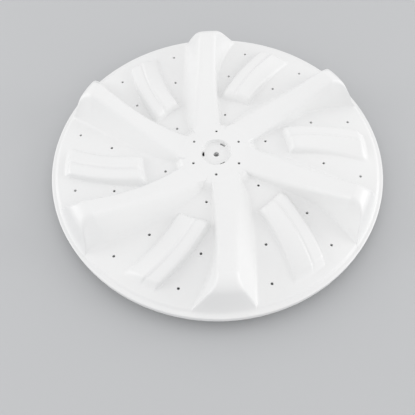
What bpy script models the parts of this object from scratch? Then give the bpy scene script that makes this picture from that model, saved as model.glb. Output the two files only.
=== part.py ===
"""Washing machine pulsator, moulded in one piece of white plastic.

A round disc carries six hollow blades that swirl out of a domed hub, and a low stepped rib in each valley
between them. The rim is turned down into a short skirt. Underneath there is a boss with a splined socket for
the drive shaft, and webs and rings stiffen the disc. Lengths are in metres, angles in degrees, and +Z is up.
The disc stands on the foot of its boss, and its axis is the Z axis.
"""
import math

import bmesh
import bpy
from mathutils import Matrix, Vector

# Overall
SECTORS = 6
SEGMENTS = 60
WALL = 0.0026
EMBED = 0.0013
SHARP_ANGLE = 32.0

# Rim. The lip lies LIP_HEIGHT above the foot of the boss.
RIM_RADIUS = 0.185
LIP_HEIGHT = 0.022
LIP_WIDTH = 0.0042
LIP_ROUND = 0.0014
STEP_WIDTH = 0.0032
SKIRT_DEPTH = 0.0084

# Valley floor, slightly dished. Heights are above the lip.
FLOOR_AT_HUB = 0.0004
FLOOR_AT_RIM = 0.0026

# Domed hub with a recess for the cap over the fixing screw
HUB_RADIUS = 0.0400
HUB_TOP = 0.0092
HUB_EDGE = 0.0066
HUB_SKIRT = 0.0068
HUB_CROWN = (0.4, 0.75, 1.0)
HUB_CROWN_POWER = 1.25
HUB_FALL = ((0.35, 0.72), (0.72, 0.16), (1.0, 0.0))
RECESS_RADIUS = 0.0170
RECESS_DRAFT = 0.0014
RECESS_DEPTH = 0.0048
SCREW_RADIUS = 0.0031
SNAP_SLOTS = 3
SNAP_SLOT_LENGTH = 0.0066
SNAP_SLOT_WIDTH = 0.0022
SNAP_SLOT_ANGLE = 60.0

# Boss under the hub: a sleeve round the splined socket and an outer wall, with a pocket between them
BOSS_RADIUS = 0.0245
BOSS_DRAFT = 0.0010
BOSS_WALL = 0.0032
SLEEVE_RADIUS = 0.0108
SOCKET_DEPTH = 0.0165
SPLINE_TEETH = 11
SPLINE_ROOT_RADIUS = 0.0074
SPLINE_TIP_RADIUS = 0.0062

# Blades. Offsets are measured sideways from a radial line at BLADE_ANGLE, towards greater angles, and each
# set holds the values at the root, at the waist and at the tip.
BLADE_ANGLE = 30.5
BLADE_ROOT_RADIUS = 0.0310
BLADE_WAIST_RADIUS = 0.1180
BLADE_TIP_RADIUS = 0.1800
BLADE_ROOT_HEIGHT = 0.0071
BLADE_HEIGHT = 0.0375
BLADE_RISE_POWER = 1.35
BLADE_TILT = 0.0061
TIP_SLOPE = 68.0
TIP_ROUND = 0.0190
TIP_TRAIL_CUT = 0.0004
TIP_LEAD_CUT = 0.0006
TRAIL_FOOT = (-0.0068, -0.0020, -0.0246)
TRAIL_CREST = (-0.0056, 0.0006, -0.0197)
LEAD_CREST = (0.0262, 0.0195, 0.0365)
LEAD_FOOT = (0.0222, 0.0383, 0.0372)
TRAIL_FOOT_EASE = (2.0, 1.55)
TRAIL_CREST_EASE = (2.0, 8.2)
LEAD_CREST_EASE = (1.4, 10.0)
LEAD_FOOT_EASE = (3.3, 2.0)
CREST_ROUND = 0.0034
FOOT_FLARE = 0.0024
LEAST_FLANK = 0.0012
ROUND_SHARE = 0.4
BLADE_SPANS = (6, 6)
CORE_SPANS = (4, 4)

# Stepped ribs in the valleys. Offsets are measured from the groove of their step.
RIB_MIDDLE_RADIUS = 0.1280
RIB_ANGLE = 10.2
RIB_SWIRL = -137.0
RIB_INNER_RADIUS = 0.0785
RIB_OUTER_RADIUS = 0.1705
RIB_INNER_RUN = 0.0065
RIB_OUTER_RUN = 0.0105
RIB_HEIGHT = 0.0090
RIB_STEP = 0.0018
RIB_GROOVE = 0.0010
RIB_WIDE = 0.0122
RIB_NARROW = 0.0100
RIB_TRAIL_RUN = 0.0090
RIB_LEAD_RUN = 0.0032
RIB_GROOVE_RUN = 0.0024

# Drain holes: radius and angle of each hole in a sector
HOLE_RADIUS = 0.0015
HUB_HOLE = (0.0290, 30.0)
VALLEY_HOLES = ((0.0600, 20.2), (0.1200, 22.9), (0.1600, 17.0), (0.1200, 55.2), (0.1600, 50.1))

# Stiffening under the disc
WEB_THICKNESS = 0.0020
HUB_RING_RADIUS = 0.0365
RING_RADIUS = 0.1080
RING_SEGMENTS = 36
OUTER_WEB_ANGLES = (27.0, 57.0)
HUB_WEB_ANGLE = 0.0
EDGE_CLEARANCE = 0.0012

PLASTIC_COLOUR = (0.86, 0.87, 0.87, 1.0)
PLASTIC_ROUGHNESS = 0.28


def clear_scene():
    for item in list(bpy.data.objects):
        bpy.data.objects.remove(item, do_unlink=True)


def make_object(name, bm, hidden):
    bmesh.ops.recalc_face_normals(bm, faces=bm.faces)
    mesh = bpy.data.meshes.new(name)
    bm.to_mesh(mesh)
    bm.free()
    item = bpy.data.objects.new(name, mesh)
    bpy.context.collection.objects.link(item)
    if hidden:
        item.hide_render = True
        item.display_type = "WIRE"
    return item


def combine(target, tool, operation, solver="EXACT"):
    modifier = target.modifiers.new(tool.name, "BOOLEAN")
    modifier.operation = operation
    modifier.solver = solver
    modifier.object = tool


def settle(target):
    """Turns the Booleans into plain mesh, shaded smooth up to the sharp edges."""
    depsgraph = bpy.context.evaluated_depsgraph_get()
    mesh = bpy.data.meshes.new_from_object(target.evaluated_get(depsgraph))
    target.modifiers.clear()
    target.data = mesh
    mesh.shade_smooth()
    mesh.set_sharp_from_angle(angle=math.radians(SHARP_ANGLE))


def spread(start, end, count):
    return [start + (end - start) * step / count for step in range(count + 1)]


def offset_line(points, distance):
    """Moves an open line sideways, to the right of its own direction, with mitred corners."""
    moved = []
    for index, point in enumerate(points):
        here = Vector(point)
        sides = []
        for start, end in ((points[max(index - 1, 0)], here), (here, points[min(index + 1, len(points) - 1)])):
            run = Vector(end) - Vector(start)
            if run.length > 0.0:
                sides.append(Vector((run.y, -run.x)).normalized())
        middle = (sides[0] + sides[-1]).normalized()
        moved.append(tuple(here + middle * distance / middle.dot(sides[0])))
    return moved


def add_turned(bm, line, segments):
    """Turns a closed line of (radius, height) about Z. Points on the axis become one vertex each."""
    rings = []
    for radius, height in line:
        count = 1 if radius == 0.0 else segments
        ring = []
        for step in range(count):
            turn = 2.0 * math.pi * step / segments
            ring.append(bm.verts.new((radius * math.cos(turn), radius * math.sin(turn), height)))
        rings.append(ring)
    pairs = list(zip(rings, rings[1:]))
    if line[0][0] > 0.0:
        pairs.append((rings[-1], rings[0]))
    for first, second in pairs:
        for step in range(segments):
            following = (step + 1) % segments
            corners = [first[step % len(first)], first[following % len(first)],
                       second[following % len(second)], second[step % len(second)]]
            bm.faces.new(list(dict.fromkeys(corners)))


def add_loft(bm, sections):
    """Joins closed sections of equal count by a skin, and caps both ends."""
    rings = [[bm.verts.new(point) for point in section] for section in sections]
    for first, second in zip(rings, rings[1:]):
        for index in range(len(first)):
            following = (index + 1) % len(first)
            bm.faces.new((first[index], first[following], second[following], second[index]))
    bm.faces.new(rings[0])
    bm.faces.new(list(reversed(rings[-1])))


def add_prism(bm, outline, bottom, top):
    add_loft(bm, [[(x, y, height) for x, y in outline] for height in (bottom, top)])


def add_plate(bm, outline, thickness, degrees):
    """Stands an outline of (radius, height) on a radial line, as a plate of this thickness."""
    turn = Matrix.Rotation(math.radians(degrees), 3, "Z")
    sides = []
    for side in (-thickness / 2.0, thickness / 2.0):
        sides.append([turn @ Vector((radius, side, height)) for radius, height in outline])
    add_loft(bm, sides)


def repeat_round(bm, copies):
    """Turns copies of what the mesh holds about Z, evenly spaced."""
    first = list(bm.verts) + list(bm.edges) + list(bm.faces)
    for copy in range(1, copies):
        copied = bmesh.ops.duplicate(bm, geom=first)
        verts = [part for part in copied["geom"] if isinstance(part, bmesh.types.BMVert)]
        turn = Matrix.Rotation(2.0 * math.pi * copy / copies, 3, "Z")
        bmesh.ops.rotate(bm, verts=verts, cent=(0.0, 0.0, 0.0), matrix=turn)


def step_radius():
    """Where the valley floor ends and steps down to the lip."""
    return RIM_RADIUS - LIP_WIDTH - STEP_WIDTH


def floor_height(radius):
    """Height of the valley floor above the lip."""
    start = HUB_RADIUS + HUB_SKIRT
    share = (radius - start) / (step_radius() - start)
    return FLOOR_AT_HUB + (FLOOR_AT_RIM - FLOOR_AT_HUB) * max(share, 0.0)


def disc_top():
    """The disc's upper side from the axis to the lip, without blades, as (radius, height above the lip)."""
    line = [(0.0, HUB_TOP), (RECESS_RADIUS, HUB_TOP)]
    for share in HUB_CROWN:
        radius = RECESS_RADIUS + (HUB_RADIUS - RECESS_RADIUS) * share
        line.append((radius, HUB_TOP + (HUB_EDGE - HUB_TOP) * share ** HUB_CROWN_POWER))
    for out, rise in HUB_FALL:
        line.append((HUB_RADIUS + HUB_SKIRT * out, FLOOR_AT_HUB + (HUB_EDGE - FLOOR_AT_HUB) * rise))
    line.append((step_radius(), floor_height(step_radius())))
    line.append((RIM_RADIUS - LIP_WIDTH, 0.0))
    return line


def disc_height(radius):
    """Height above the lip of the disc's upper side, without blades."""
    line = disc_top()
    for (start, low), (end, high) in zip(line, line[1:]):
        if radius <= end:
            return low + (high - low) * (radius - start) / (end - start)
    return 0.0


def lifted(line):
    return [(radius, height + LIP_HEIGHT) for radius, height in line]


def make_disc():
    """Disc and skirt as one turned solid, full down to the foot of the boss. The underside is cut afterwards."""
    rim = []
    for degrees in (90.0, 45.0, 0.0):
        turn = math.radians(degrees)
        rim.append((RIM_RADIUS - LIP_ROUND * (1.0 - math.cos(turn)), LIP_ROUND * (math.sin(turn) - 1.0)))
    inside = RIM_RADIUS - 2.0 * WALL
    foot = [(RIM_RADIUS, -SKIRT_DEPTH), (inside, -SKIRT_DEPTH)]
    outline = lifted(disc_top() + rim + foot) + [(inside, 0.0), (0.0, 0.0)]
    bm = bmesh.new()
    add_turned(bm, outline, SEGMENTS)
    return make_object("pulsator", bm, False)


def eased(radius, values, powers):
    """Offset of one of a blade's long edges, from its values at root, waist and tip."""
    root, waist, tip = values
    if radius < BLADE_WAIST_RADIUS:
        share = (BLADE_WAIST_RADIUS - radius) / (BLADE_WAIST_RADIUS - BLADE_ROOT_RADIUS)
        return waist + (root - waist) * share ** powers[0]
    share = (radius - BLADE_WAIST_RADIUS) / (BLADE_TIP_RADIUS - BLADE_WAIST_RADIUS)
    return waist + (tip - waist) * share ** powers[1]


def tip_bend(tip_radius):
    """Centre of the round between crest and end face, as (radius, height above the lip)."""
    slope = math.radians(TIP_SLOPE)
    height = BLADE_HEIGHT - TIP_ROUND
    return tip_radius - (TIP_ROUND / math.cos(slope) + height) / math.tan(slope), height


def crest_height(radius, tip_radius, inset):
    """Height of the crest above the lip. The inset one is the underside of the wall."""
    bend_radius, bend_height = tip_bend(tip_radius)
    slope = math.radians(TIP_SLOPE)
    if radius <= bend_radius:
        share = max(radius - BLADE_ROOT_RADIUS, 0.0) / (bend_radius - BLADE_ROOT_RADIUS)
        return BLADE_ROOT_HEIGHT + (BLADE_HEIGHT - BLADE_ROOT_HEIGHT) * share ** BLADE_RISE_POWER - inset
    if radius < bend_radius + (TIP_ROUND - inset) * math.sin(slope):
        return bend_height + math.sqrt((TIP_ROUND - inset) ** 2 - (radius - bend_radius) ** 2)
    return (tip_radius - radius) * math.tan(slope) - inset / math.cos(slope)


def blade_corners(radius, inset, base):
    """Trail foot, trail crest, middle, lead crest and lead foot of a blade, as (offset, height above the lip)."""
    floor = floor_height(radius)
    reach = min(max((radius - BLADE_ROOT_RADIUS) / (tip_bend(BLADE_TIP_RADIUS)[0] - BLADE_ROOT_RADIUS), 0.0), 1.0)
    tilt = BLADE_TILT * 4.0 * reach * (1.0 - reach)
    high = max(crest_height(min(radius, tip_bend(BLADE_TIP_RADIUS)[0]), BLADE_TIP_RADIUS, 0.0), floor + LEAST_FLANK)
    trail_foot = eased(radius, TRAIL_FOOT, TRAIL_FOOT_EASE)
    lead_foot = eased(radius, LEAD_FOOT, LEAD_FOOT_EASE)
    trail_crest = max(eased(radius, TRAIL_CREST, TRAIL_CREST_EASE), trail_foot + LEAST_FLANK)
    lead_crest = min(eased(radius, LEAD_CREST, LEAD_CREST_EASE), lead_foot - LEAST_FLANK)
    flanks = [((trail_foot, floor), (trail_crest, high - tilt)), ((lead_crest, high), (lead_foot, floor))]
    if inset > 0.0:
        flanks = [offset_line(flank, inset) for flank in flanks]
    least = base + EMBED / 4.0
    tops = [max(crest_height(radius, BLADE_TIP_RADIUS - TIP_TRAIL_CUT, inset) - tilt, least),
            max(crest_height(radius, BLADE_TIP_RADIUS - TIP_LEAD_CUT, inset), least)]
    middle = max(crest_height(radius, BLADE_TIP_RADIUS, inset) - tilt / 2.0, least)
    trail = [on_line(flanks[0], base), on_line(flanks[0], tops[0])]
    lead = [on_line(flanks[1], tops[1]), on_line(flanks[1], base)]
    centre = (trail[1][0] + lead[0][0]) / 2.0
    return trail + [(centre, middle)] + lead


def on_line(line, height):
    (start, low), (end, high) = line
    return start + (end - start) * (height - low) / (high - low), height


def soften(corners):
    """Rounds both crests of a blade's section, and lets its feet run out in a small flare."""
    left, first, middle, second, right = [Vector(corner) for corner in corners]
    line = []
    for here, before, after in ((first, left, middle), (second, middle, right)):
        back = before - here
        ahead = after - here
        size = min(CREST_ROUND, back.length * ROUND_SHARE, ahead.length * ROUND_SHARE)
        start = here + back.normalized() * size
        end = here + ahead.normalized() * size
        line.append([tuple(start), tuple((start + end + 2.0 * here) / 4.0), tuple(end)])
    rise = min(FOOT_FLARE + EMBED, ROUND_SHARE * (first.y - left.y), ROUND_SHARE * (second.y - right.y))
    flare = FOOT_FLARE * rise / (FOOT_FLARE + EMBED)
    start = [(left.x - flare, left.y), on_line((tuple(left), tuple(first)), left.y + rise)]
    end = [on_line((tuple(second), tuple(right)), right.y + rise), (right.x + flare, right.y)]
    return start + line[0] + [tuple(middle)] + line[1] + end


def place(radius, section, degrees):
    """Wraps a section of (offset, height above the lip) round the cylinder of this radius."""
    points = []
    for offset, height in section:
        turn = math.radians(degrees) + math.asin(offset / radius)
        points.append((radius * math.cos(turn), radius * math.sin(turn), LIP_HEIGHT + height))
    return points


def blade_radii(end, spans):
    """Stations of a blade from the hub's edge on: along its length, and over the round at its tip."""
    bend = tip_bend(BLADE_TIP_RADIUS - TIP_TRAIL_CUT)[0]
    hub_foot = HUB_RADIUS + HUB_SKIRT
    return [HUB_RADIUS] + spread(hub_foot, bend, spans[0])[:-1] + spread(bend, end, spans[1])


def make_blades():
    bm = bmesh.new()
    sections = []
    for radius in [BLADE_ROOT_RADIUS] + blade_radii(BLADE_TIP_RADIUS, BLADE_SPANS):
        base = disc_height(radius) - EMBED
        sections.append(place(radius, soften(blade_corners(radius, 0.0, base)), BLADE_ANGLE))
    add_loft(bm, sections)
    repeat_round(bm, SECTORS)
    return make_object("blades", bm, True)


def make_blade_cores():
    """The hollow inside each blade, one wall in from its outside. It starts at the hub's edge."""
    bm = bmesh.new()
    sections = []
    end = BLADE_TIP_RADIUS - WALL / math.sin(math.radians(TIP_SLOPE)) - FOOT_FLARE
    for radius in blade_radii(end, CORE_SPANS):
        base = disc_height(radius) - WALL - EMBED
        sections.append(place(radius, blade_corners(radius, WALL, base), BLADE_ANGLE))
    add_loft(bm, sections)
    repeat_round(bm, SECTORS)
    return make_object("blade_cores", bm, True)


def rib_turn(radius):
    return RIB_ANGLE + RIB_SWIRL * (radius - RIB_MIDDLE_RADIUS)


def make_ribs():
    bm = bmesh.new()
    ends = [(RIB_INNER_RADIUS, 0.0), (RIB_OUTER_RADIUS, 0.0)]
    inner = RIB_INNER_RADIUS + RIB_INNER_RUN
    outer = RIB_OUTER_RADIUS - RIB_OUTER_RUN
    stations = ends[:1] + [(radius, 1.0) for radius in spread(inner, outer, 5)] + ends[1:]
    sections = []
    for radius, share in stations:
        floor = floor_height(radius)
        base = floor - EMBED
        rise = (RIB_HEIGHT - floor) * share
        low = floor + rise - RIB_STEP * share - EMBED / 2.0 * (1.0 - share)
        high = floor + rise - EMBED / 2.0 * (1.0 - share)
        section = [(-RIB_WIDE - RIB_TRAIL_RUN, base),
                   (-RIB_WIDE, high),
                   (-RIB_GROOVE_RUN, high),
                   (0.0, low - RIB_GROOVE * share),
                   (RIB_GROOVE_RUN, low),
                   (RIB_NARROW, low),
                   (RIB_NARROW + RIB_LEAD_RUN, base)]
        sections.append(place(radius, section, rib_turn(radius)))
    add_loft(bm, sections)
    repeat_round(bm, SECTORS)
    return make_object("ribs", bm, True)


def make_rib_cores():
    """The hollow under each rib, one wall in from its outside."""
    bm = bmesh.new()
    inner = RIB_INNER_RADIUS + RIB_INNER_RUN + WALL
    outer = RIB_OUTER_RADIUS - RIB_OUTER_RUN - WALL
    top = RIB_HEIGHT - RIB_STEP - RIB_GROOVE - WALL
    sections = []
    for radius in spread(inner, outer, 5):
        base = floor_height(radius) - WALL - EMBED
        section = [(-RIB_WIDE - RIB_TRAIL_RUN / 2.0, base), (-RIB_WIDE, top), (RIB_NARROW - WALL, top),
                   (RIB_NARROW + RIB_LEAD_RUN - WALL, base)]
        sections.append(place(radius, section, rib_turn(radius)))
    add_loft(bm, sections)
    repeat_round(bm, SECTORS)
    return make_object("rib_cores", bm, True)


def recess_floor():
    """Height of the cap recess's floor above the foot of the boss."""
    return LIP_HEIGHT + HUB_TOP - RECESS_DEPTH


def make_underside():
    """What is open under the disc: the ring from the boss to the skirt, and the pocket inside the boss."""
    line = [point for point in disc_top() if BOSS_RADIUS < point[0]]
    line = [(BOSS_RADIUS, disc_height(BOSS_RADIUS))] + line
    under = lifted(offset_line(line, WALL))
    outline = [(BOSS_RADIUS, under[0][1])] + under[1:]
    outline += [(RIM_RADIUS - WALL, LIP_HEIGHT - WALL - LIP_ROUND), (RIM_RADIUS - WALL, -WALL)]
    outline.append((BOSS_RADIUS - BOSS_DRAFT, -WALL))
    bm = bmesh.new()
    add_turned(bm, outline, SEGMENTS)
    pocket_top = recess_floor() - WALL
    outer = BOSS_RADIUS - BOSS_WALL
    add_turned(bm, [(SLEEVE_RADIUS + BOSS_DRAFT, -WALL), (outer, -WALL), (outer - BOSS_DRAFT, pocket_top),
                    (SLEEVE_RADIUS, pocket_top)], RING_SEGMENTS)
    return make_object("underside", bm, True)


def make_rings():
    """Stiffening rings, as tall as the part: they stay wherever the underside is cut."""
    bm = bmesh.new()
    low = LIP_HEIGHT - SKIRT_DEPTH + 2.0 * EDGE_CLEARANCE
    high = LIP_HEIGHT + BLADE_HEIGHT + WALL
    for radius in (HUB_RING_RADIUS, RING_RADIUS):
        inside = radius - WEB_THICKNESS / 2.0
        outside = radius + WEB_THICKNESS / 2.0
        add_turned(bm, [(inside, low), (outside, low), (outside, high), (inside, high)], RING_SEGMENTS)
    return make_object("rings", bm, True)


def make_webs():
    """Radial webs: short ones from the sleeve to the hub ring, long ones from there to the skirt."""
    bm = bmesh.new()
    low = LIP_HEIGHT - SKIRT_DEPTH + EDGE_CLEARANCE
    high = LIP_HEIGHT + BLADE_HEIGHT + WALL
    inside = (SLEEVE_RADIUS + SPLINE_ROOT_RADIUS) / 2.0
    boss_middle = BOSS_RADIUS - BOSS_WALL / 2.0
    hub_web = [(inside, EDGE_CLEARANCE), (boss_middle, EDGE_CLEARANCE), (boss_middle, low),
               (HUB_RING_RADIUS, low), (HUB_RING_RADIUS, high), (inside, high)]
    add_plate(bm, hub_web, WEB_THICKNESS, HUB_WEB_ANGLE)
    web = [(HUB_RING_RADIUS, low), (RIM_RADIUS - WALL / 2.0, low), (RIM_RADIUS - WALL / 2.0, high),
           (HUB_RING_RADIUS, high)]
    for degrees in OUTER_WEB_ANGLES:
        add_plate(bm, web, WEB_THICKNESS, degrees)
    repeat_round(bm, SECTORS)
    return make_object("webs", bm, True)


def make_recess():
    """The cap recess in the hub."""
    over = recess_floor() + RECESS_DEPTH * 2.0
    bm = bmesh.new()
    add_turned(bm, [(0.0, recess_floor()), (RECESS_RADIUS - RECESS_DRAFT, recess_floor()),
                    (RECESS_RADIUS + RECESS_DRAFT, over), (0.0, over)], RING_SEGMENTS)
    return make_object("recess", bm, True)


def round_outline(radius, sides, x, y):
    turns = [2.0 * math.pi * step / sides for step in range(sides)]
    return [(x + radius * math.cos(turn), y + radius * math.sin(turn)) for turn in turns]


def make_socket():
    """The splined socket, and the hole for the fixing screw above it."""
    outline = []
    for tooth in range(SPLINE_TEETH):
        for share, radius in ((0.0, SPLINE_TIP_RADIUS), (0.35, SPLINE_TIP_RADIUS),
                              (0.5, SPLINE_ROOT_RADIUS), (0.85, SPLINE_ROOT_RADIUS)):
            turn = 2.0 * math.pi * (tooth + share) / SPLINE_TEETH
            outline.append((radius * math.cos(turn), radius * math.sin(turn)))
    bm = bmesh.new()
    add_prism(bm, outline, -WALL, SOCKET_DEPTH)
    return make_object("socket", bm, True)


def make_screw_hole():
    bm = bmesh.new()
    add_prism(bm, round_outline(SCREW_RADIUS, 16, 0.0, 0.0), SOCKET_DEPTH - WALL, recess_floor() + WALL)
    return make_object("screw_hole", bm, True)


def make_drain_holes():
    bm = bmesh.new()
    for radius, degrees in (HUB_HOLE,) + VALLEY_HOLES:
        turn = math.radians(degrees)
        outline = round_outline(HOLE_RADIUS, 6, radius * math.cos(turn), radius * math.sin(turn))
        top = LIP_HEIGHT + disc_height(radius)
        add_prism(bm, outline, top - 2.0 * WALL, top + WALL)
    repeat_round(bm, SECTORS)
    return make_object("drain_holes", bm, True)


def make_snap_slots():
    """Slots along the edge of the recess's floor, where the cap's hooks snap in."""
    bm = bmesh.new()
    outside = RECESS_RADIUS - RECESS_DRAFT
    turn = Matrix.Rotation(math.radians(SNAP_SLOT_ANGLE), 2)
    outline = []
    for radius, side in ((outside - SNAP_SLOT_WIDTH, -0.5), (outside, -0.5), (outside, 0.5),
                         (outside - SNAP_SLOT_WIDTH, 0.5)):
        outline.append(tuple(turn @ Vector((radius, side * SNAP_SLOT_LENGTH))))
    add_prism(bm, outline, recess_floor() - 2.0 * WALL, recess_floor() + WALL)
    repeat_round(bm, SNAP_SLOTS)
    return make_object("snap_slots", bm, True)


def plastic():
    material = bpy.data.materials.new("white_plastic")
    material.use_nodes = True
    shader = material.node_tree.nodes["Principled BSDF"]
    shader.inputs["Base Color"].default_value = PLASTIC_COLOUR
    shader.inputs["Roughness"].default_value = PLASTIC_ROUGHNESS
    return material


def main():
    clear_scene()
    underside = make_underside()
    combine(underside, make_blade_cores(), "UNION")
    combine(underside, make_rib_cores(), "UNION")
    combine(underside, make_rings(), "DIFFERENCE")
    combine(underside, make_webs(), "DIFFERENCE", "MANIFOLD")

    pulsator = make_disc()
    pulsator.data.materials.append(plastic())
    combine(pulsator, make_blades(), "UNION")
    combine(pulsator, make_ribs(), "UNION")
    combine(pulsator, underside, "DIFFERENCE", "MANIFOLD")
    combine(pulsator, make_recess(), "DIFFERENCE", "MANIFOLD")
    combine(pulsator, make_socket(), "DIFFERENCE", "MANIFOLD")
    combine(pulsator, make_screw_hole(), "DIFFERENCE", "MANIFOLD")
    combine(pulsator, make_drain_holes(), "DIFFERENCE", "MANIFOLD")
    combine(pulsator, make_snap_slots(), "DIFFERENCE", "MANIFOLD")
    settle(pulsator)


main()
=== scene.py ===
import math

import bmesh
import bpy
import numpy as np
from mathutils import Matrix, Vector


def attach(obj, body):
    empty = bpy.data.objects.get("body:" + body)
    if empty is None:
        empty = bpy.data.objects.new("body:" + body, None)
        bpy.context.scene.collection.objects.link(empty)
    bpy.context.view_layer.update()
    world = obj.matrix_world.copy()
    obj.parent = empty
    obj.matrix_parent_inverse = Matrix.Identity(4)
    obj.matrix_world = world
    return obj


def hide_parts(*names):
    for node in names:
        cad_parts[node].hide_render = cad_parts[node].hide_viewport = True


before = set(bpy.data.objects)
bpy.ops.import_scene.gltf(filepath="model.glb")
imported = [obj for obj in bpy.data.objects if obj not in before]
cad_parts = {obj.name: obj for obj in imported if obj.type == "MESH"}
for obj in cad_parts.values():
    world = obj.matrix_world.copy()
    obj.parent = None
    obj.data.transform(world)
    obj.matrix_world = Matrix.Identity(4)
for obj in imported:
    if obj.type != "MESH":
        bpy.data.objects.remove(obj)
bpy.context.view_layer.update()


# The upper side of the moulding: a disc with a domed hub and a stepped rim, six swirling blades, and a low
# stepped rib in each valley between them. It is injection moulded in glossy white plastic, so every edge
# is rounded. One sixth of it is laid out here, ring by ring, each ring with the same number of points.
SECTORS = 6
SECTOR = math.radians(360.0 / SECTORS)
RIM_RADIUS = 0.185
LIP_HEIGHT = 0.022
LIP_WIDTH = 0.0042
LIP_ROUND = 0.0014
STEP_WIDTH = 0.0032
SKIRT_DEPTH = 0.0084
FLOOR_AT_HUB = 0.0004
FLOOR_AT_RIM = 0.0026
HUB_RADIUS = 0.0400
HUB_TOP = 0.0092
HUB_EDGE = 0.0066
HUB_SKIRT = 0.0068
HUB_CROWN_POWER = 1.25
HUB_SKIRT_START = HUB_RADIUS - HUB_SKIRT / 4.0
HUB_FOOT = HUB_RADIUS + HUB_SKIRT
STEP_RADIUS = RIM_RADIUS - LIP_WIDTH - STEP_WIDTH
RECESS_RADIUS = 0.0170

BLADE_TURN = math.radians(30.5)
BLADE_ROOT = 0.0310
BLADE_WAIST = 0.1180
BLADE_TIP = 0.1800
BLADE_ROOT_HEIGHT = 0.0071
BLADE_HEIGHT = 0.0374
BLADE_RISE_POWER = 1.35
BLADE_TILT = 0.0061
TIP_SLOPE = math.radians(68.0)
TIP_ROUND = 0.0190
TIP_TRAIL_CUT = 0.0004
TIP_LEAD_CUT = 0.0006
# A blade's long edges: sideways offset at root, waist and tip, and the powers it bends by on either side
TRAIL_FOOT = (-0.0068, -0.0020, -0.0246, 2.0, 1.55)
TRAIL_CREST = (-0.0056, 0.0006, -0.0197, 2.0, 8.2)
LEAD_CREST = (0.0262, 0.0195, 0.0365, 1.4, 10.0)
LEAD_FOOT = (0.0222, 0.0383, 0.0372, 3.3, 2.0)
LEAST_FLANK = 0.0012
ROOT_BLEND = 0.0016

RIB_MIDDLE = 0.1280
RIB_TURN = math.radians(10.2)
RIB_SWIRL = math.radians(-137.0)
RIB_INNER = 0.0822
RIB_OUTER = 0.1705
RIB_INNER_RUN = 0.0105
RIB_INNER_POWER = 3.0
RIB_OUTER_RUN = 0.0095
RIB_HEIGHT = 0.0114
RIB_STEP = 0.0014
RIB_GROOVE = 0.0008
RIB_TRAIL_FALL = 0.72
# A rib's long edges, from trailing to leading foot: sideways offset, and how that spreads with the radius
RIB_EDGES = (-0.0222, -0.0192, -0.0024, 0.0, 0.0022, 0.0128, 0.0162)
RIB_SPREAD = (-0.030, -0.030, 0.020, 0.0, 0.0, 0.040, -0.030)
RIB_CORNER = 0.0064
RIB_CORNER_RUN = 0.0120


def ease(share):
    """A smooth step from 0 to 1."""
    share = min(max(share, 0.0), 1.0)
    return share * share * (3.0 - 2.0 * share)


def soft_max(first, second, blend):
    """The larger of two values, rounded over where they are about equal."""
    return (first + second + math.sqrt((first - second) ** 2 + blend ** 2)) / 2.0


def disc_height(radius):
    """Height of the disc's upper side above its lip, without blades and ribs."""
    if radius >= STEP_RADIUS:
        return FLOOR_AT_RIM * (1.0 - ease((radius - STEP_RADIUS) / STEP_WIDTH))
    if radius >= HUB_FOOT:
        share = (radius - HUB_FOOT) / (STEP_RADIUS - HUB_FOOT)
        return FLOOR_AT_HUB + (FLOOR_AT_RIM - FLOOR_AT_HUB) * share
    share = max(min(radius, HUB_SKIRT_START) - RECESS_RADIUS, 0.0) / (HUB_RADIUS - RECESS_RADIUS)
    crown = HUB_TOP + (HUB_EDGE - HUB_TOP) * share ** HUB_CROWN_POWER
    return crown + (FLOOR_AT_HUB - crown) * ease((radius - HUB_SKIRT_START) / (HUB_FOOT - HUB_SKIRT_START))


def blade_edge(radius, edge):
    """Sideways offset of one of a blade's long edges, from its values at root, waist and tip."""
    root, waist, tip, root_power, tip_power = edge
    if radius < BLADE_WAIST:
        share = (BLADE_WAIST - radius) / (BLADE_WAIST - BLADE_ROOT)
        return waist + (root - waist) * share ** root_power
    share = (radius - BLADE_WAIST) / (BLADE_TIP - BLADE_WAIST)
    return waist + (tip - waist) * share ** tip_power


def tip_bend(tip_radius):
    """Where the crest starts to round over into the end face, and the height of that round's centre."""
    height = BLADE_HEIGHT - TIP_ROUND
    return tip_radius - (TIP_ROUND / math.cos(TIP_SLOPE) + height) / math.tan(TIP_SLOPE), height


def crest_height(radius, tip_radius, wall):
    """Height of a blade's crest above the lip, or of the underside of its wall."""
    bend, height = tip_bend(tip_radius)
    if radius <= bend:
        share = max(radius - BLADE_ROOT, 0.0) / (bend - BLADE_ROOT)
        return BLADE_ROOT_HEIGHT + (BLADE_HEIGHT - BLADE_ROOT_HEIGHT) * share ** BLADE_RISE_POWER - wall
    if radius < bend + (TIP_ROUND - wall) * math.sin(TIP_SLOPE):
        return height + math.sqrt((TIP_ROUND - wall) ** 2 - (radius - bend) ** 2)
    return (tip_radius - radius) * math.tan(TIP_SLOPE) - wall / math.cos(TIP_SLOPE)


def on_flank(foot, crest, height):
    """The point at a height on the line from a flank's foot to its crest."""
    share = (height - foot[1]) / (crest[1] - foot[1])
    return foot[0] + (crest[0] - foot[0]) * share, height


def moved_in(foot, crest, wall):
    """A flank moved sideways by the wall's thickness, towards the inside of the blade."""
    run = Vector(crest) - Vector(foot)
    side = Vector((run.y, -run.x)).normalized() * wall
    if run.y < 0.0:
        side = -side
    return tuple(Vector(foot) + side), tuple(Vector(crest) + side)


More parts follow.
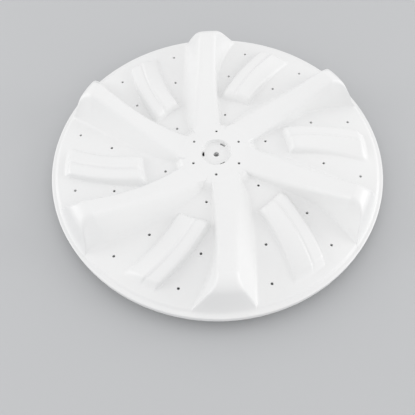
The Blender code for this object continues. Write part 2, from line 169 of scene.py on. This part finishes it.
def blade_line(radius, wall):
    """Foot, crest, crown, crest and foot of a blade's section, as (offset, height above the lip)."""
    base = disc_height(radius) - wall
    bend = tip_bend(BLADE_TIP)[0]
    reach = min(max((radius - BLADE_ROOT) / (bend - BLADE_ROOT), 0.0), 1.0)
    tilt = BLADE_TILT * 4.0 * reach * (1.0 - reach)
    floor = min(disc_height(radius), FLOOR_AT_RIM)
    high = max(crest_height(min(radius, bend), BLADE_TIP, 0.0), floor + LEAST_FLANK)
    trail_foot = blade_edge(radius, TRAIL_FOOT)
    lead_foot = blade_edge(radius, LEAD_FOOT)
    trail_crest = max(blade_edge(radius, TRAIL_CREST), trail_foot + LEAST_FLANK)
    lead_crest = min(blade_edge(radius, LEAD_CREST), lead_foot - LEAST_FLANK)
    trail = ((trail_foot, floor), (trail_crest, high - tilt))
    lead = ((lead_foot, floor), (lead_crest, high))
    if wall > 0.0:
        trail = moved_in(*trail, wall)
        lead = moved_in(*lead, -wall)
    blend = ROOT_BLEND * ease((radius - BLADE_ROOT) / (HUB_RADIUS - BLADE_ROOT))
    tops = []
    for cut, drop in ((TIP_TRAIL_CUT, tilt), (0.0, tilt / 2.0), (TIP_LEAD_CUT, 0.0)):
        tops.append(soft_max(crest_height(radius, BLADE_TIP - cut, wall) - drop, base, blend))
    line = [on_flank(*trail, base), on_flank(*trail, tops[0])]
    line += [on_flank(*lead, tops[2]), on_flank(*lead, base)]
    line.insert(2, ((line[1][0] + line[2][0]) / 2.0, tops[1]))
    return line


def ring_line(radius, wall=0.0):
    """Corners of one ring over one sector, as (turn about the axis, height above the lip)."""
    base = disc_height(radius) - wall
    at = max(radius, BLADE_ROOT)
    blade = [(BLADE_TURN + math.asin(offset / at), height) for offset, height in blade_line(at, wall)]
    if radius < BLADE_ROOT:
        blade = [(turn, base) for turn, height in blade]
    rib_at = min(max(radius, RIB_INNER), RIB_OUTER)
    edges = [edge + spread * (rib_at - RIB_MIDDLE) for edge, spread in zip(RIB_EDGES, RIB_SPREAD)]
    corner = 1.0 - min((max(rib_at, RIB_INNER + wall) - RIB_INNER) / RIB_CORNER_RUN, 1.0)
    corner = RIB_CORNER * (1.0 - math.sqrt(1.0 - corner ** 2))
    edges = [edge + wall for edge in edges[:2]] + edges[2:5] + [edge - corner - wall for edge in edges[5:]]
    turns = [RIB_TURN + RIB_SWIRL * (rib_at - RIB_MIDDLE) + math.asin(edge / rib_at) for edge in edges]
    lead_foot = BLADE_TURN + math.asin(blade_edge(rib_at, LEAD_FOOT) / rib_at) - SECTOR
    trail_foot = BLADE_TURN + math.asin(blade_edge(rib_at, TRAIL_FOOT) / rib_at)
    seam = (lead_foot + turns[0]) / 2.0
    shares = [(turn - seam) / (trail_foot - seam) for turn in turns]
    seam_share = (seam - lead_foot) / (trail_foot - lead_foot)
    here_lead = blade[4][0] - SECTOR
    here_seam = here_lead + (blade[0][0] - here_lead) * seam_share
    inner = min(max((radius - RIB_INNER - wall) / RIB_INNER_RUN, 0.0), 1.0)
    rise = (1.0 - (1.0 - inner) ** RIB_INNER_POWER) * ease((RIB_OUTER - wall - radius) / RIB_OUTER_RUN)
    high = base + (RIB_HEIGHT - wall - base) * rise
    low = high - RIB_STEP * rise
    fall = RIB_TRAIL_FALL * (1.0 - ((RIB_OUTER - rib_at) / (RIB_OUTER - RIB_INNER)) ** 2)
    heights = (base, high + (base - high) * fall, high, low - RIB_GROOVE * rise, low, low, base)
    rib = [(here_seam + (blade[0][0] - here_seam) * share, height)
           for share, height in zip(shares, heights)]
    return [(here_seam, base)] + rib + blade + [(here_seam + SECTOR, base)]


# Rounding of each corner of a ring: the seam, the rib's seven and the blade's five, and the seam again.
# Then the points along each straight run between them, and the rings' radii as from, to and spacing.
ROUNDS = (0.0, 0.0014, 0.0048, 0.0020, 0.0012, 0.0012, 0.0030, 0.0012,
          0.0024, 0.0042, 0.0060, 0.0050, 0.0036, 0.0)
RUNS = (1, 2, 2, 0, 0, 2, 1, 3, 4, 2, 2, 6, 2)
ROUND_STEPS = 5
ROUND_REACH = 0.48
TOP_SPANS = ((0.0150, BLADE_ROOT, 0.0032), (BLADE_ROOT, 0.048, 0.0013), (0.048, 0.0765, 0.0026),
             (0.0765, 0.093, 0.0008), (0.093, 0.150, 0.0030), (0.150, 0.1785, 0.0009),
             (0.1785, RIM_RADIUS - LIP_ROUND, 0.0008))


def rounded_ring(radius):
    """Points of one ring with its corners rounded, as (turn, height)."""
    line = [Vector((turn * radius, height)) for turn, height in ring_line(radius)]
    points = [line[0]]
    last = line[0]
    for index in range(1, len(line)):
        here = line[index]
        if index == len(line) - 1:
            start = here
            bend = [here]
        else:
            back = line[index - 1] - here
            ahead = line[index + 1] - here
            size = min(ROUNDS[index], back.length * ROUND_REACH, ahead.length * ROUND_REACH)
            start = here + back.normalized() * size
            end = here + ahead.normalized() * size
            bend = []
            for step in range(ROUND_STEPS):
                share = step / (ROUND_STEPS - 1)
                bend.append(start * (1 - share) ** 2 + here * 2 * share * (1 - share) + end * share ** 2)
        for step in range(1, RUNS[index - 1] + 1):
            points.append(last.lerp(start, step / (RUNS[index - 1] + 1)))
        points += bend
        last = bend[-1]
    return [(point.x / radius, point.y) for point in points]


def stretch(spans):
    """Radii from one value to the next at each span's spacing."""
    radii = []
    for (start, end, gap) in spans:
        count = max(round((end - start) / gap), 1)
        radii += [start + (end - start) * step / count for step in range(count)]
    return radii + [spans[-1][1]]


def build_sector(name, rings):
    """Skins rings of (radius, turn, height) points; a ring of one point closes the middle."""
    bm = bmesh.new()
    rows = []
    for ring in rings:
        row = [bm.verts.new((radius * math.cos(turn), radius * math.sin(turn), height))
               for radius, turn, height in ring]
        rows.append(row)
    for first, second in zip(rows, rows[1:]):
        for index in range(max(len(first), len(second)) - 1):
            corners = [first[min(index, len(first) - 1)], second[min(index, len(second) - 1)],
                       second[min(index + 1, len(second) - 1)], first[min(index + 1, len(first) - 1)]]
            bm.faces.new(list(dict.fromkeys(corners)))
    mesh = bpy.data.meshes.new(name)
    bm.to_mesh(mesh)
    bm.free()
    piece = bpy.data.objects.new(name, mesh)
    bpy.context.collection.objects.link(piece)
    return piece


rings = []
for radius in stretch(TOP_SPANS):
    rings.append([(radius, turn, LIP_HEIGHT + height) for turn, height in rounded_ring(radius)])
turns = [turn for radius, turn, height in rings[-1]]
for degrees in (67.5, 45.0, 22.5, 0.0):
    slope = math.radians(degrees)
    radius = RIM_RADIUS - LIP_ROUND * (1.0 - math.cos(slope))
    rings.append([(radius, turn, LIP_HEIGHT - LIP_ROUND * (1.0 - math.sin(slope))) for turn in turns])

# The rim's skirt hangs down from the lip. Inside it the blank reaches down to the boss's foot, and the
# hollow underside takes most of that away again.
WALL = 0.0026
FOOT_ROUND = 0.0006
skirt_foot = LIP_HEIGHT - SKIRT_DEPTH
inside = RIM_RADIUS - 2.0 * WALL
for radius, height in ((RIM_RADIUS, skirt_foot + FOOT_ROUND), (RIM_RADIUS - FOOT_ROUND, skirt_foot),
                       (inside, skirt_foot), (inside, 0.0)):
    rings.append([(radius, turn, height) for turn in turns])
rings.insert(0, [(0.0, 0.0, LIP_HEIGHT + HUB_TOP)])
rings.append([(0.0, 0.0, 0.0)])
moulding = build_sector("pulsator_moulding", rings)


# The white plastic that the whole moulding is made of, glossy from the polished mould. Its colour has faint
# cloudy patches, its gloss is a little duller here and there, and its skin is barely wavy.
plastic = bpy.data.materials.new("white_plastic")
plastic.use_nodes = True
nodes = plastic.node_tree.nodes
links = plastic.node_tree.links
shader = nodes["Principled BSDF"]
shader.inputs["IOR"].default_value = 1.49
place = nodes.new("ShaderNodeTexCoord")
clouds = nodes.new("ShaderNodeTexNoise")
clouds.inputs["Scale"].default_value = 9.0
clouds.inputs["Detail"].default_value = 4.0
links.new(place.outputs["Object"], clouds.inputs["Vector"])
tint = nodes.new("ShaderNodeValToRGB")
tint.color_ramp.elements[0].position = 0.30
tint.color_ramp.elements[0].color = (0.832, 0.838, 0.838, 1.0)
tint.color_ramp.elements[1].position = 0.70
tint.color_ramp.elements[1].color = (0.852, 0.856, 0.853, 1.0)
links.new(clouds.outputs["Fac"], tint.inputs["Fac"])
links.new(tint.outputs["Color"], shader.inputs["Base Color"])
scuffs = nodes.new("ShaderNodeTexNoise")
scuffs.inputs["Scale"].default_value = 30.0
scuffs.inputs["Detail"].default_value = 3.0
links.new(place.outputs["Object"], scuffs.inputs["Vector"])
gloss = nodes.new("ShaderNodeMapRange")
gloss.inputs["From Min"].default_value = 0.35
gloss.inputs["From Max"].default_value = 0.70
gloss.inputs["To Min"].default_value = 0.29
gloss.inputs["To Max"].default_value = 0.35
links.new(scuffs.outputs["Fac"], gloss.inputs["Value"])
links.new(gloss.outputs["Result"], shader.inputs["Roughness"])
waves = nodes.new("ShaderNodeTexNoise")
waves.inputs["Scale"].default_value = 25.0
waves.inputs["Detail"].default_value = 1.0
links.new(place.outputs["Object"], waves.inputs["Vector"])
skin = nodes.new("ShaderNodeBump")
skin.inputs["Strength"].default_value = 0.02
skin.inputs["Distance"].default_value = 0.0004
links.new(waves.outputs["Fac"], skin.inputs["Height"])
links.new(skin.outputs["Normal"], shader.inputs["Normal"])


# Six equal sectors make the round part. A node tree turns copies of one sector about the axis and welds
# them, which the underside, the webs and the drain holes use as well.
def repeat_tree():
    """The tree's inputs are the number of copies, the distance to weld over, and the material."""
    tree = bpy.data.node_groups.new("round_repeat", "GeometryNodeTree")
    tree.interface.new_socket("Geometry", in_out="INPUT", socket_type="NodeSocketGeometry")
    tree.interface.new_socket("Copies", in_out="INPUT", socket_type="NodeSocketInt")
    tree.interface.new_socket("Weld Distance", in_out="INPUT", socket_type="NodeSocketFloat")
    tree.interface.new_socket("Material", in_out="INPUT", socket_type="NodeSocketMaterial")
    tree.interface.new_socket("Geometry", in_out="OUTPUT", socket_type="NodeSocketGeometry")
    add = tree.nodes.new
    link = tree.links.new
    given = add("NodeGroupInput")
    result = add("NodeGroupOutput")
    points = add("GeometryNodeMeshLine")
    points.inputs["Offset"].default_value = (0.0, 0.0, 0.0)
    number = add("GeometryNodeInputIndex")
    step = add("ShaderNodeMath")
    step.operation = "DIVIDE"
    turn = add("ShaderNodeMath")
    turn.operation = "MULTIPLY"
    turn.inputs[1].default_value = 2.0 * math.pi
    spin = add("ShaderNodeCombineXYZ")
    copies = add("GeometryNodeInstanceOnPoints")
    real = add("GeometryNodeRealizeInstances")
    weld = add("GeometryNodeMergeByDistance")
    finish = add("GeometryNodeSetMaterial")
    link(given.outputs["Copies"], points.inputs["Count"])
    link(number.outputs["Index"], step.inputs[0])
    link(given.outputs["Copies"], step.inputs[1])
    link(step.outputs["Value"], turn.inputs[0])
    link(turn.outputs["Value"], spin.inputs["Z"])
    link(points.outputs["Mesh"], copies.inputs["Points"])
    link(given.outputs["Geometry"], copies.inputs["Instance"])
    link(spin.outputs["Vector"], copies.inputs["Rotation"])
    link(copies.outputs["Instances"], real.inputs["Geometry"])
    link(real.outputs["Geometry"], weld.inputs["Geometry"])
    link(given.outputs["Weld Distance"], weld.inputs["Distance"])
    link(weld.outputs["Geometry"], finish.inputs["Geometry"])
    link(given.outputs["Material"], finish.inputs["Material"])
    link(finish.outputs["Geometry"], result.inputs["Geometry"])
    return tree


WELD_DISTANCE = 0.00002
round_repeat = repeat_tree()


def bake(piece):
    """Replaces a piece's mesh by what its modifiers make of it."""
    bpy.context.view_layer.update()
    depsgraph = bpy.context.evaluated_depsgraph_get()
    mesh = bpy.data.meshes.new_from_object(piece.evaluated_get(depsgraph))
    piece.modifiers.clear()
    piece.data = mesh


def repeat_round(piece, copies):
    """Turns copies of a piece about the axis, and keeps the result as its mesh, facing outwards."""
    modifier = piece.modifiers.new("round_repeat", "NODES")
    modifier.node_group = round_repeat
    values = {"Copies": copies, "Weld Distance": WELD_DISTANCE, "Material": plastic}
    for socket in round_repeat.interface.items_tree:
        if socket.in_out == "INPUT" and socket.name in values:
            modifier[socket.identifier] = values[socket.name]
    bake(piece)
    bm = bmesh.new()
    bm.from_mesh(piece.data)
    bmesh.ops.recalc_face_normals(bm, faces=bm.faces)
    if bm.calc_volume(signed=True) < 0.0:
        bmesh.ops.reverse_faces(bm, faces=bm.faces)
    bm.to_mesh(piece.data)
    bm.free()


repeat_round(moulding, SECTORS)


# The hollow underside. The mould's core leaves one even wall under the disc, the blades and the ribs, and a
# ring-shaped pocket inside the boss. Webs and rings are left standing in it to stiffen the disc.
BOSS_RADIUS = 0.0245
BOSS_DRAFT = 0.0010
BOSS_WALL = 0.0032
SLEEVE_RADIUS = 0.0108
RECESS_DEPTH = 0.0048
recess_floor = LIP_HEIGHT + HUB_TOP - RECESS_DEPTH
CORE_RUNS = (0, 1, 1, 0, 0, 1, 0, 1, 2, 1, 1, 3, 1)
CORE_END = RIM_RADIUS - WALL
CORE_SPANS = ((BOSS_RADIUS, 0.048, 0.0030), (0.048, 0.0765, 0.004), (0.0765, 0.093, 0.0016),
              (0.093, 0.150, 0.0048), (0.150, CORE_END, 0.0018))


def core_ring(radius):
    """Points of one ring of the core, a wall's thickness inside the upper side."""
    line = ring_line(radius, WALL)
    points = [line[0]]
    for index in range(1, len(line)):
        count = CORE_RUNS[index - 1] + 1
        for step in range(1, count + 1):
            share = step / count
            points.append((line[index - 1][0] * (1 - share) + line[index][0] * share,
                           line[index - 1][1] * (1 - share) + line[index][1] * share))
    return points


rings = []
for radius in stretch(CORE_SPANS):
    rings.append([(radius, turn, LIP_HEIGHT + height) for turn, height in core_ring(radius)])
turns = [turn for radius, turn, height in rings[-1]]
for radius, height in ((CORE_END, -WALL), (BOSS_RADIUS - BOSS_DRAFT, -WALL)):
    rings.append([(radius, turn, height) for turn in turns])
rings.append([(radius, turn, height) for radius, turn, height in rings[0]])
hollow = build_sector("underside_hollow", rings)
repeat_round(hollow, SECTORS)


def turned(name, line, steps):
    """A closed line of (radius, height) turned about the axis."""
    bm = bmesh.new()
    rows = []
    for radius, height in line:
        row = []
        for step in range(steps if radius > 0.0 else 1):
            turn = 2.0 * math.pi * step / steps
            row.append(bm.verts.new((radius * math.cos(turn), radius * math.sin(turn), height)))
        rows.append(row)
    pairs = list(zip(rows, rows[1:]))
    if line[0][0] > 0.0:
        pairs.append((rows[-1], rows[0]))
    for first, second in pairs:
        for step in range(steps):
            after = (step + 1) % steps
            corners = [first[step % len(first)], first[after % len(first)],
                       second[after % len(second)], second[step % len(second)]]
            bm.faces.new(list(dict.fromkeys(corners)))
    bmesh.ops.recalc_face_normals(bm, faces=bm.faces)
    mesh = bpy.data.meshes.new(name)
    bm.to_mesh(mesh)
    bm.free()
    piece = bpy.data.objects.new(name, mesh)
    bpy.context.collection.objects.link(piece)
    return piece


def cut(target, tool, operation="DIFFERENCE"):
    """Cuts a tool out of a piece, or joins it, keeps the result and drops the tool."""
    modifier = target.modifiers.new(tool.name, "BOOLEAN")
    modifier.operation = operation
    modifier.solver = "MANIFOLD"
    modifier.object = tool
    bake(target)
    bpy.data.objects.remove(tool)


EDGE_CLEARANCE = 0.0012
WEB_THICKNESS = 0.0020
WEB_DRAFT = 0.0004
HUB_RING_RADIUS = 0.0365
RING_RADIUS = 0.1080
HUB_WEB_TURN = 0.0
RIM_WEB_TURNS = (27.0, 57.0)
web_low = skirt_foot + EDGE_CLEARANCE
web_high = LIP_HEIGHT + BLADE_HEIGHT + WALL
half = WEB_THICKNESS / 2.0
pocket_top = recess_floor - WALL
pocket_outside = BOSS_RADIUS - BOSS_WALL
pocket = turned("boss_pocket", [(SLEEVE_RADIUS + BOSS_DRAFT, -WALL), (pocket_outside, -WALL),
                                (pocket_outside - BOSS_DRAFT, pocket_top), (SLEEVE_RADIUS, pocket_top)],
                steps=96)
cut(hollow, pocket, "UNION")
for name, radius in (("hub_ring", HUB_RING_RADIUS), ("outer_ring", RING_RADIUS)):
    low = web_low + EDGE_CLEARANCE
    ring = turned(name, [(radius - half + WEB_DRAFT, low), (radius + half - WEB_DRAFT, low),
                         (radius + half, web_high), (radius - half, web_high)], steps=144)
    cut(hollow, ring)


def web(name, outline, degrees):
    """An upright plate on a radial line, thinner at its lower edge."""
    turn = Matrix.Rotation(math.radians(degrees), 3, "Z")
    bm = bmesh.new()
    sides = []
    for side in (-1.0, 1.0):
        row = []
        for radius, height in outline:
            width = half - WEB_DRAFT * (web_high - height) / (web_high - web_low)
            row.append(bm.verts.new(turn @ Vector((radius, side * width, height))))
        sides.append(row)
    bm.faces.new(sides[0])
    bm.faces.new(list(reversed(sides[1])))
    for index in range(len(outline)):
        after = (index + 1) % len(outline)
        bm.faces.new((sides[0][index], sides[1][index], sides[1][after], sides[0][after]))
    bmesh.ops.recalc_face_normals(bm, faces=bm.faces)
    mesh = bpy.data.meshes.new(name)
    bm.to_mesh(mesh)
    bm.free()
    piece = bpy.data.objects.new(name, mesh)
    bpy.context.collection.objects.link(piece)
    repeat_round(piece, SECTORS)
    return piece


SPLINE_ROOT = 0.0074
SPLINE_TIP = 0.0062
web_start = (SLEEVE_RADIUS + SPLINE_ROOT) / 2.0
boss_middle = BOSS_RADIUS - BOSS_WALL / 2.0
cut(hollow, web("hub_webs", [(web_start, EDGE_CLEARANCE), (boss_middle, EDGE_CLEARANCE),
                             (boss_middle, web_low), (HUB_RING_RADIUS, web_low),
                             (HUB_RING_RADIUS, web_high), (web_start, web_high)], HUB_WEB_TURN))
rim_middle = RIM_RADIUS - WALL / 2.0
for name, degrees in zip(("inner_webs", "outer_webs"), RIM_WEB_TURNS):
    cut(hollow, web(name, [(HUB_RING_RADIUS, web_low), (rim_middle, web_low), (rim_middle, web_high),
                           (HUB_RING_RADIUS, web_high)], degrees))
cut(moulding, hollow)


# The hub's openings: the round recess for the snap-in cap with its three slots, the hole for the fixing
# screw in its floor, and the splined socket for the drive shaft, which comes up from below.
RECESS_DRAFT = 0.0014
RECESS_EDGE = 0.0009
SCREW_RADIUS = 0.0031
SCREW_EDGE = 0.0004
SOCKET_DEPTH = 0.0165
SPLINE_TEETH = 11
SPLINE_POINTS = 12
SPLINE_SQUARENESS = 3.2
SLOTS = 3
SLOT_TURN = math.radians(60.0)
SLOT_LENGTH = 0.0066
SLOT_WIDTH = 0.0022
SLOT_POINTS = 9
hub_top = LIP_HEIGHT + HUB_TOP
recess_line = [(0.0, recess_floor), (RECESS_RADIUS - RECESS_DRAFT - RECESS_EDGE, recess_floor)]
for degrees in (22.5, 45.0, 67.5, 90.0):
    slope = math.radians(degrees)
    recess_line.append((RECESS_RADIUS - RECESS_DRAFT - RECESS_EDGE * (1.0 - math.sin(slope)),
                        recess_floor + RECESS_EDGE * (1.0 - math.cos(slope))))
for degrees in (0.0, 22.5, 45.0, 67.5, 90.0):
    slope = math.radians(degrees)
    recess_line.append((RECESS_RADIUS + RECESS_EDGE * (1.0 - math.cos(slope)),
                        hub_top - RECESS_EDGE * (1.0 - math.sin(slope))))
recess_line += [(RECESS_RADIUS + RECESS_EDGE, hub_top + WALL), (0.0, hub_top + WALL)]
cut(moulding, turned("cap_recess", recess_line, steps=120))
cut(moulding, turned("screw_hole", [(0.0, SOCKET_DEPTH - WALL), (SCREW_RADIUS, SOCKET_DEPTH - WALL),
                                    (SCREW_RADIUS, recess_floor - SCREW_EDGE),
                                    (SCREW_RADIUS + SCREW_EDGE, recess_floor),
                                    (SCREW_RADIUS + SCREW_EDGE, hub_top), (0.0, hub_top)], steps=48))


def upright(name, outline, bottom, top):
    """An upright prism on a closed outline of (x, y)."""
    bm = bmesh.new()
    low = [bm.verts.new((x, y, bottom)) for x, y in outline]
    high = [bm.verts.new((x, y, top)) for x, y in outline]
    bm.faces.new(low)
    bm.faces.new(list(reversed(high)))
    for index in range(len(outline)):
        after = (index + 1) % len(outline)
        bm.faces.new((low[index], high[index], high[after], low[after]))
    bmesh.ops.recalc_face_normals(bm, faces=bm.faces)
    mesh = bpy.data.meshes.new(name)
    bm.to_mesh(mesh)
    bm.free()
    piece = bpy.data.objects.new(name, mesh)
    bpy.context.collection.objects.link(piece)
    return piece


outline = []
for tooth in range(SPLINE_TEETH):
    for share in np.linspace(0.0, 1.0, SPLINE_POINTS, endpoint=False):
        swing = 0.5 + 0.5 * math.tanh(SPLINE_SQUARENESS * math.cos(2.0 * math.pi * share))
        radius = SPLINE_TIP + (SPLINE_ROOT - SPLINE_TIP) * swing
        turn = 2.0 * math.pi * (tooth + share) / SPLINE_TEETH
        outline.append((radius * math.cos(turn), radius * math.sin(turn)))
cut(moulding, upright("spline_socket", outline, -WALL, SOCKET_DEPTH))

slot_outside = RECESS_RADIUS - RECESS_DRAFT
outline = []
for radius, way in ((slot_outside, 1.0), (slot_outside - SLOT_WIDTH, -1.0)):
    for share in np.linspace(-way, way, SLOT_POINTS):
        turn = SLOT_TURN + share * SLOT_LENGTH / 2.0 / slot_outside
        outline.append((radius * math.cos(turn), radius * math.sin(turn)))
slots = upright("snap_slots", outline, pocket_top - WALL, recess_floor + WALL)
repeat_round(slots, SLOTS)
cut(moulding, slots)


# Drain holes, about 3 mm wide, through the hub and the valleys. Pins in the mould leave them, in the same
# places in every sector.
HOLE_RADIUS = 0.0015
HOLE_SIDES = 20
HOLES = ((0.0290, 30.0), (0.0600, 20.2), (0.1200, 22.9), (0.1600, 17.0), (0.1200, 55.2), (0.1600, 50.1))
for number, (radius, degrees) in enumerate(HOLES):
    turn = math.radians(degrees)
    top = LIP_HEIGHT + disc_height(radius)
    outline = []
    for step in range(HOLE_SIDES):
        about = 2.0 * math.pi * step / HOLE_SIDES
        outline.append((radius * math.cos(turn) + HOLE_RADIUS * math.cos(about),
                        radius * math.sin(turn) + HOLE_RADIUS * math.sin(about)))
    pins = upright("drain_pins_%d" % number, outline, top - 2.0 * WALL, top + WALL)
    repeat_round(pins, SECTORS)
    cut(moulding, pins)


# The finished moulding, in one piece as it drops from the mould. The cuts leave edges too short to see,
# which close up, and faces with many corners, which are split, so that it is one closed skin.
SHORTEST_EDGE = 0.000003
SHARP_ANGLE = math.radians(34.0)
bm = bmesh.new()
bm.from_mesh(moulding.data)
bmesh.ops.remove_doubles(bm, verts=bm.verts, dist=SHORTEST_EDGE)
bmesh.ops.triangulate(bm, faces=[face for face in bm.faces if len(face.verts) > 4])
bm.to_mesh(moulding.data)
bm.free()
moulding.data.materials.clear()
moulding.data.materials.append(plastic)
moulding.data.shade_smooth()
moulding.data.set_sharp_from_angle(angle=SHARP_ANGLE)
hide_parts("pulsator")
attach(moulding, "root")


# The studio: a plain pale floor, an even pale sky, and a large soft lamp low down on each side, the right
# one stronger, as in the photograph. The camera looks from the photograph's side.
FLOOR_REACH = 6.0
LAMP_SIZE = 1.2
LAMP_COLOUR = (1.0, 0.995, 0.985)
LAMP_AIM = Vector((0.0, 0.0, 0.02))
ground = bpy.data.materials.new("pale_floor")
ground.use_nodes = True
ground.node_tree.nodes["Principled BSDF"].inputs["Base Color"].default_value = (0.52, 0.53, 0.54, 1.0)
ground.node_tree.nodes["Principled BSDF"].inputs["Roughness"].default_value = 0.75
bm = bmesh.new()
bmesh.ops.create_grid(bm, x_segments=1, y_segments=1, size=FLOOR_REACH)
mesh = bpy.data.meshes.new("studio_floor")
bm.to_mesh(mesh)
bm.free()
floor = bpy.data.objects.new("studio_floor", mesh)
floor.data.materials.append(ground)
bpy.context.collection.objects.link(floor)

world = bpy.data.worlds.new("studio_sky")
bpy.context.scene.world = world
world.use_nodes = True
world.node_tree.nodes["Background"].inputs["Color"].default_value = (1.0, 0.995, 1.0, 1.0)
world.node_tree.nodes["Background"].inputs["Strength"].default_value = 0.92


def lamp(name, place, power):
    """A round soft lamp that faces the part."""
    data = bpy.data.lights.new(name, "AREA")
    data.shape = "DISK"
    data.size = LAMP_SIZE
    data.energy = power
    data.color = LAMP_COLOUR
    item = bpy.data.objects.new(name, data)
    item.location = place
    item.rotation_euler = (LAMP_AIM - Vector(place)).to_track_quat("-Z", "Y").to_euler()
    bpy.context.collection.objects.link(item)


lamp("right_lamp", (1.55, 0.00, 0.46), 7.2)
lamp("left_lamp", (-1.52, 0.05, 0.52), 5.7)

camera_data = bpy.data.cameras.new("camera")
camera = bpy.data.objects.new("camera", camera_data)
bpy.context.collection.objects.link(camera)
bpy.context.scene.camera = camera
ELEVATION = math.radians(62.0)
TURN = math.radians(2.66)
ROLL = math.radians(-2.1)
DISTANCE = 0.521
LOOK_AT = Vector((-0.0097, -0.0513, -0.0050))
FIELD_OF_VIEW = math.radians(48.5)
camera_data.lens_unit = "FOV"
camera_data.angle = FIELD_OF_VIEW
camera_data.clip_start = 0.01
back = Vector((math.sin(TURN) * math.cos(ELEVATION), -math.cos(TURN) * math.cos(ELEVATION),
               math.sin(ELEVATION)))
aim = (-back).to_track_quat("-Z", "Y").to_matrix() @ Matrix.Rotation(ROLL, 3, "Z")
camera.matrix_world = Matrix.Translation(LOOK_AT + back * DISTANCE) @ aim.to_4x4()
bpy.context.scene.view_settings.view_transform = "Standard"
